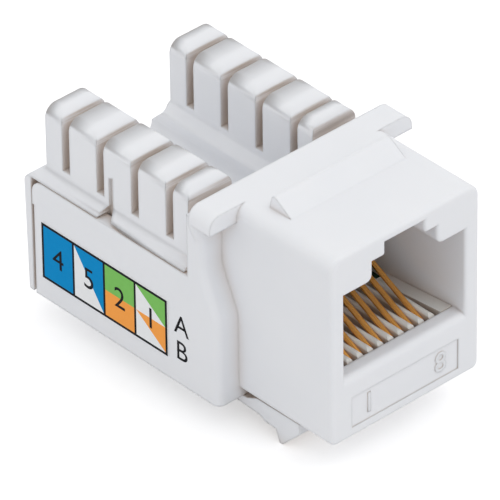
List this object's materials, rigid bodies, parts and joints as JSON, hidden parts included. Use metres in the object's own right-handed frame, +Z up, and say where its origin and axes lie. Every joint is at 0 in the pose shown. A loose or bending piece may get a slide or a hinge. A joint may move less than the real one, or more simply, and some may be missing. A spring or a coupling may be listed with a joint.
{
  "type": "keystone jack",
  "caption": "Snap-in keystone jack with a modular port in front, a sprung latch underneath and two rows of punch-down teeth behind.",
  "frame": {"origin": "bottom centre of the whole jack's box, under the middle of its length", "axes": "+Z up, out of the punch-down teeth; -Y out of the modular port; +X to the right seen from the port, away from the printed wiring label"},
  "size_m": [0.02, 0.0314, 0.0204],
  "materials": {
    "white_plastic": "smooth moulded, cool white",
    "insert_plastic": "smooth moulded, warm white",
    "gilt_wire": "gold plated spring wire",
    "terminal_metal": "tinned phosphor bronze",
    "board": "green solder mask",
    "label": "printed film"
  },
  "bodies": {
    "housing": {"front_housing": "white_plastic", "terminal_block": "white_plastic", "circuit_board": "board", "contact_carrier": "insert_plastic", "wiring_label": "label", "idc_terminal_1": "terminal_metal", "idc_terminal_2": "terminal_metal", "idc_terminal_3": "terminal_metal", "idc_terminal_4": "terminal_metal", "idc_terminal_5": "terminal_metal", "idc_terminal_6": "terminal_metal", "idc_terminal_7": "terminal_metal", "idc_terminal_8": "terminal_metal"},
    "latch": {"latch_arm": "white_plastic"},
    "spring_1": {"contact_1": "gilt_wire"},
    "spring_2": {"contact_2": "gilt_wire"},
    "spring_3": {"contact_3": "gilt_wire"},
    "spring_4": {"contact_4": "gilt_wire"},
    "spring_5": {"contact_5": "gilt_wire"},
    "spring_6": {"contact_6": "gilt_wire"},
    "spring_7": {"contact_7": "gilt_wire"},
    "spring_8": {"contact_8": "gilt_wire"}
  },
  "joints": [
    {"name": "latch_flex", "type": "hinge", "parent": "housing", "child": "latch", "pos_m": [0, -0.00535, 0.00185], "axis": [-1, 0, 0], "range_deg": [0, 8], "stiffness_Nm_per_rad": 0.2},
    {"name": "contact_1_flex", "type": "hinge", "parent": "housing", "child": "spring_1", "pos_m": [-0.00356, -0.00505, 0.00715], "axis": [1, 0, 0], "range_deg": [0, 6], "stiffness_Nm_per_rad": 0.05},
    {"name": "contact_2_flex", "type": "hinge", "parent": "housing", "child": "spring_2", "pos_m": [-0.00254, -0.00505, 0.00715], "axis": [1, 0, 0], "range_deg": [0, 6], "stiffness_Nm_per_rad": 0.05},
    {"name": "contact_3_flex", "type": "hinge", "parent": "housing", "child": "spring_3", "pos_m": [-0.00152, -0.00505, 0.00715], "axis": [1, 0, 0], "range_deg": [0, 6], "stiffness_Nm_per_rad": 0.05},
    {"name": "contact_4_flex", "type": "hinge", "parent": "housing", "child": "spring_4", "pos_m": [-0.00051, -0.00505, 0.00715], "axis": [1, 0, 0], "range_deg": [0, 6], "stiffness_Nm_per_rad": 0.05},
    {"name": "contact_5_flex", "type": "hinge", "parent": "housing", "child": "spring_5", "pos_m": [0.00051, -0.00505, 0.00715], "axis": [1, 0, 0], "range_deg": [0, 6], "stiffness_Nm_per_rad": 0.05},
    {"name": "contact_6_flex", "type": "hinge", "parent": "housing", "child": "spring_6", "pos_m": [0.00152, -0.00505, 0.00715], "axis": [1, 0, 0], "range_deg": [0, 6], "stiffness_Nm_per_rad": 0.05},
    {"name": "contact_7_flex", "type": "hinge", "parent": "housing", "child": "spring_7", "pos_m": [0.00254, -0.00505, 0.00715], "axis": [1, 0, 0], "range_deg": [0, 6], "stiffness_Nm_per_rad": 0.05},
    {"name": "contact_8_flex", "type": "hinge", "parent": "housing", "child": "spring_8", "pos_m": [0.00356, -0.00505, 0.00715], "axis": [1, 0, 0], "range_deg": [0, 6], "stiffness_Nm_per_rad": 0.05}
  ]
}
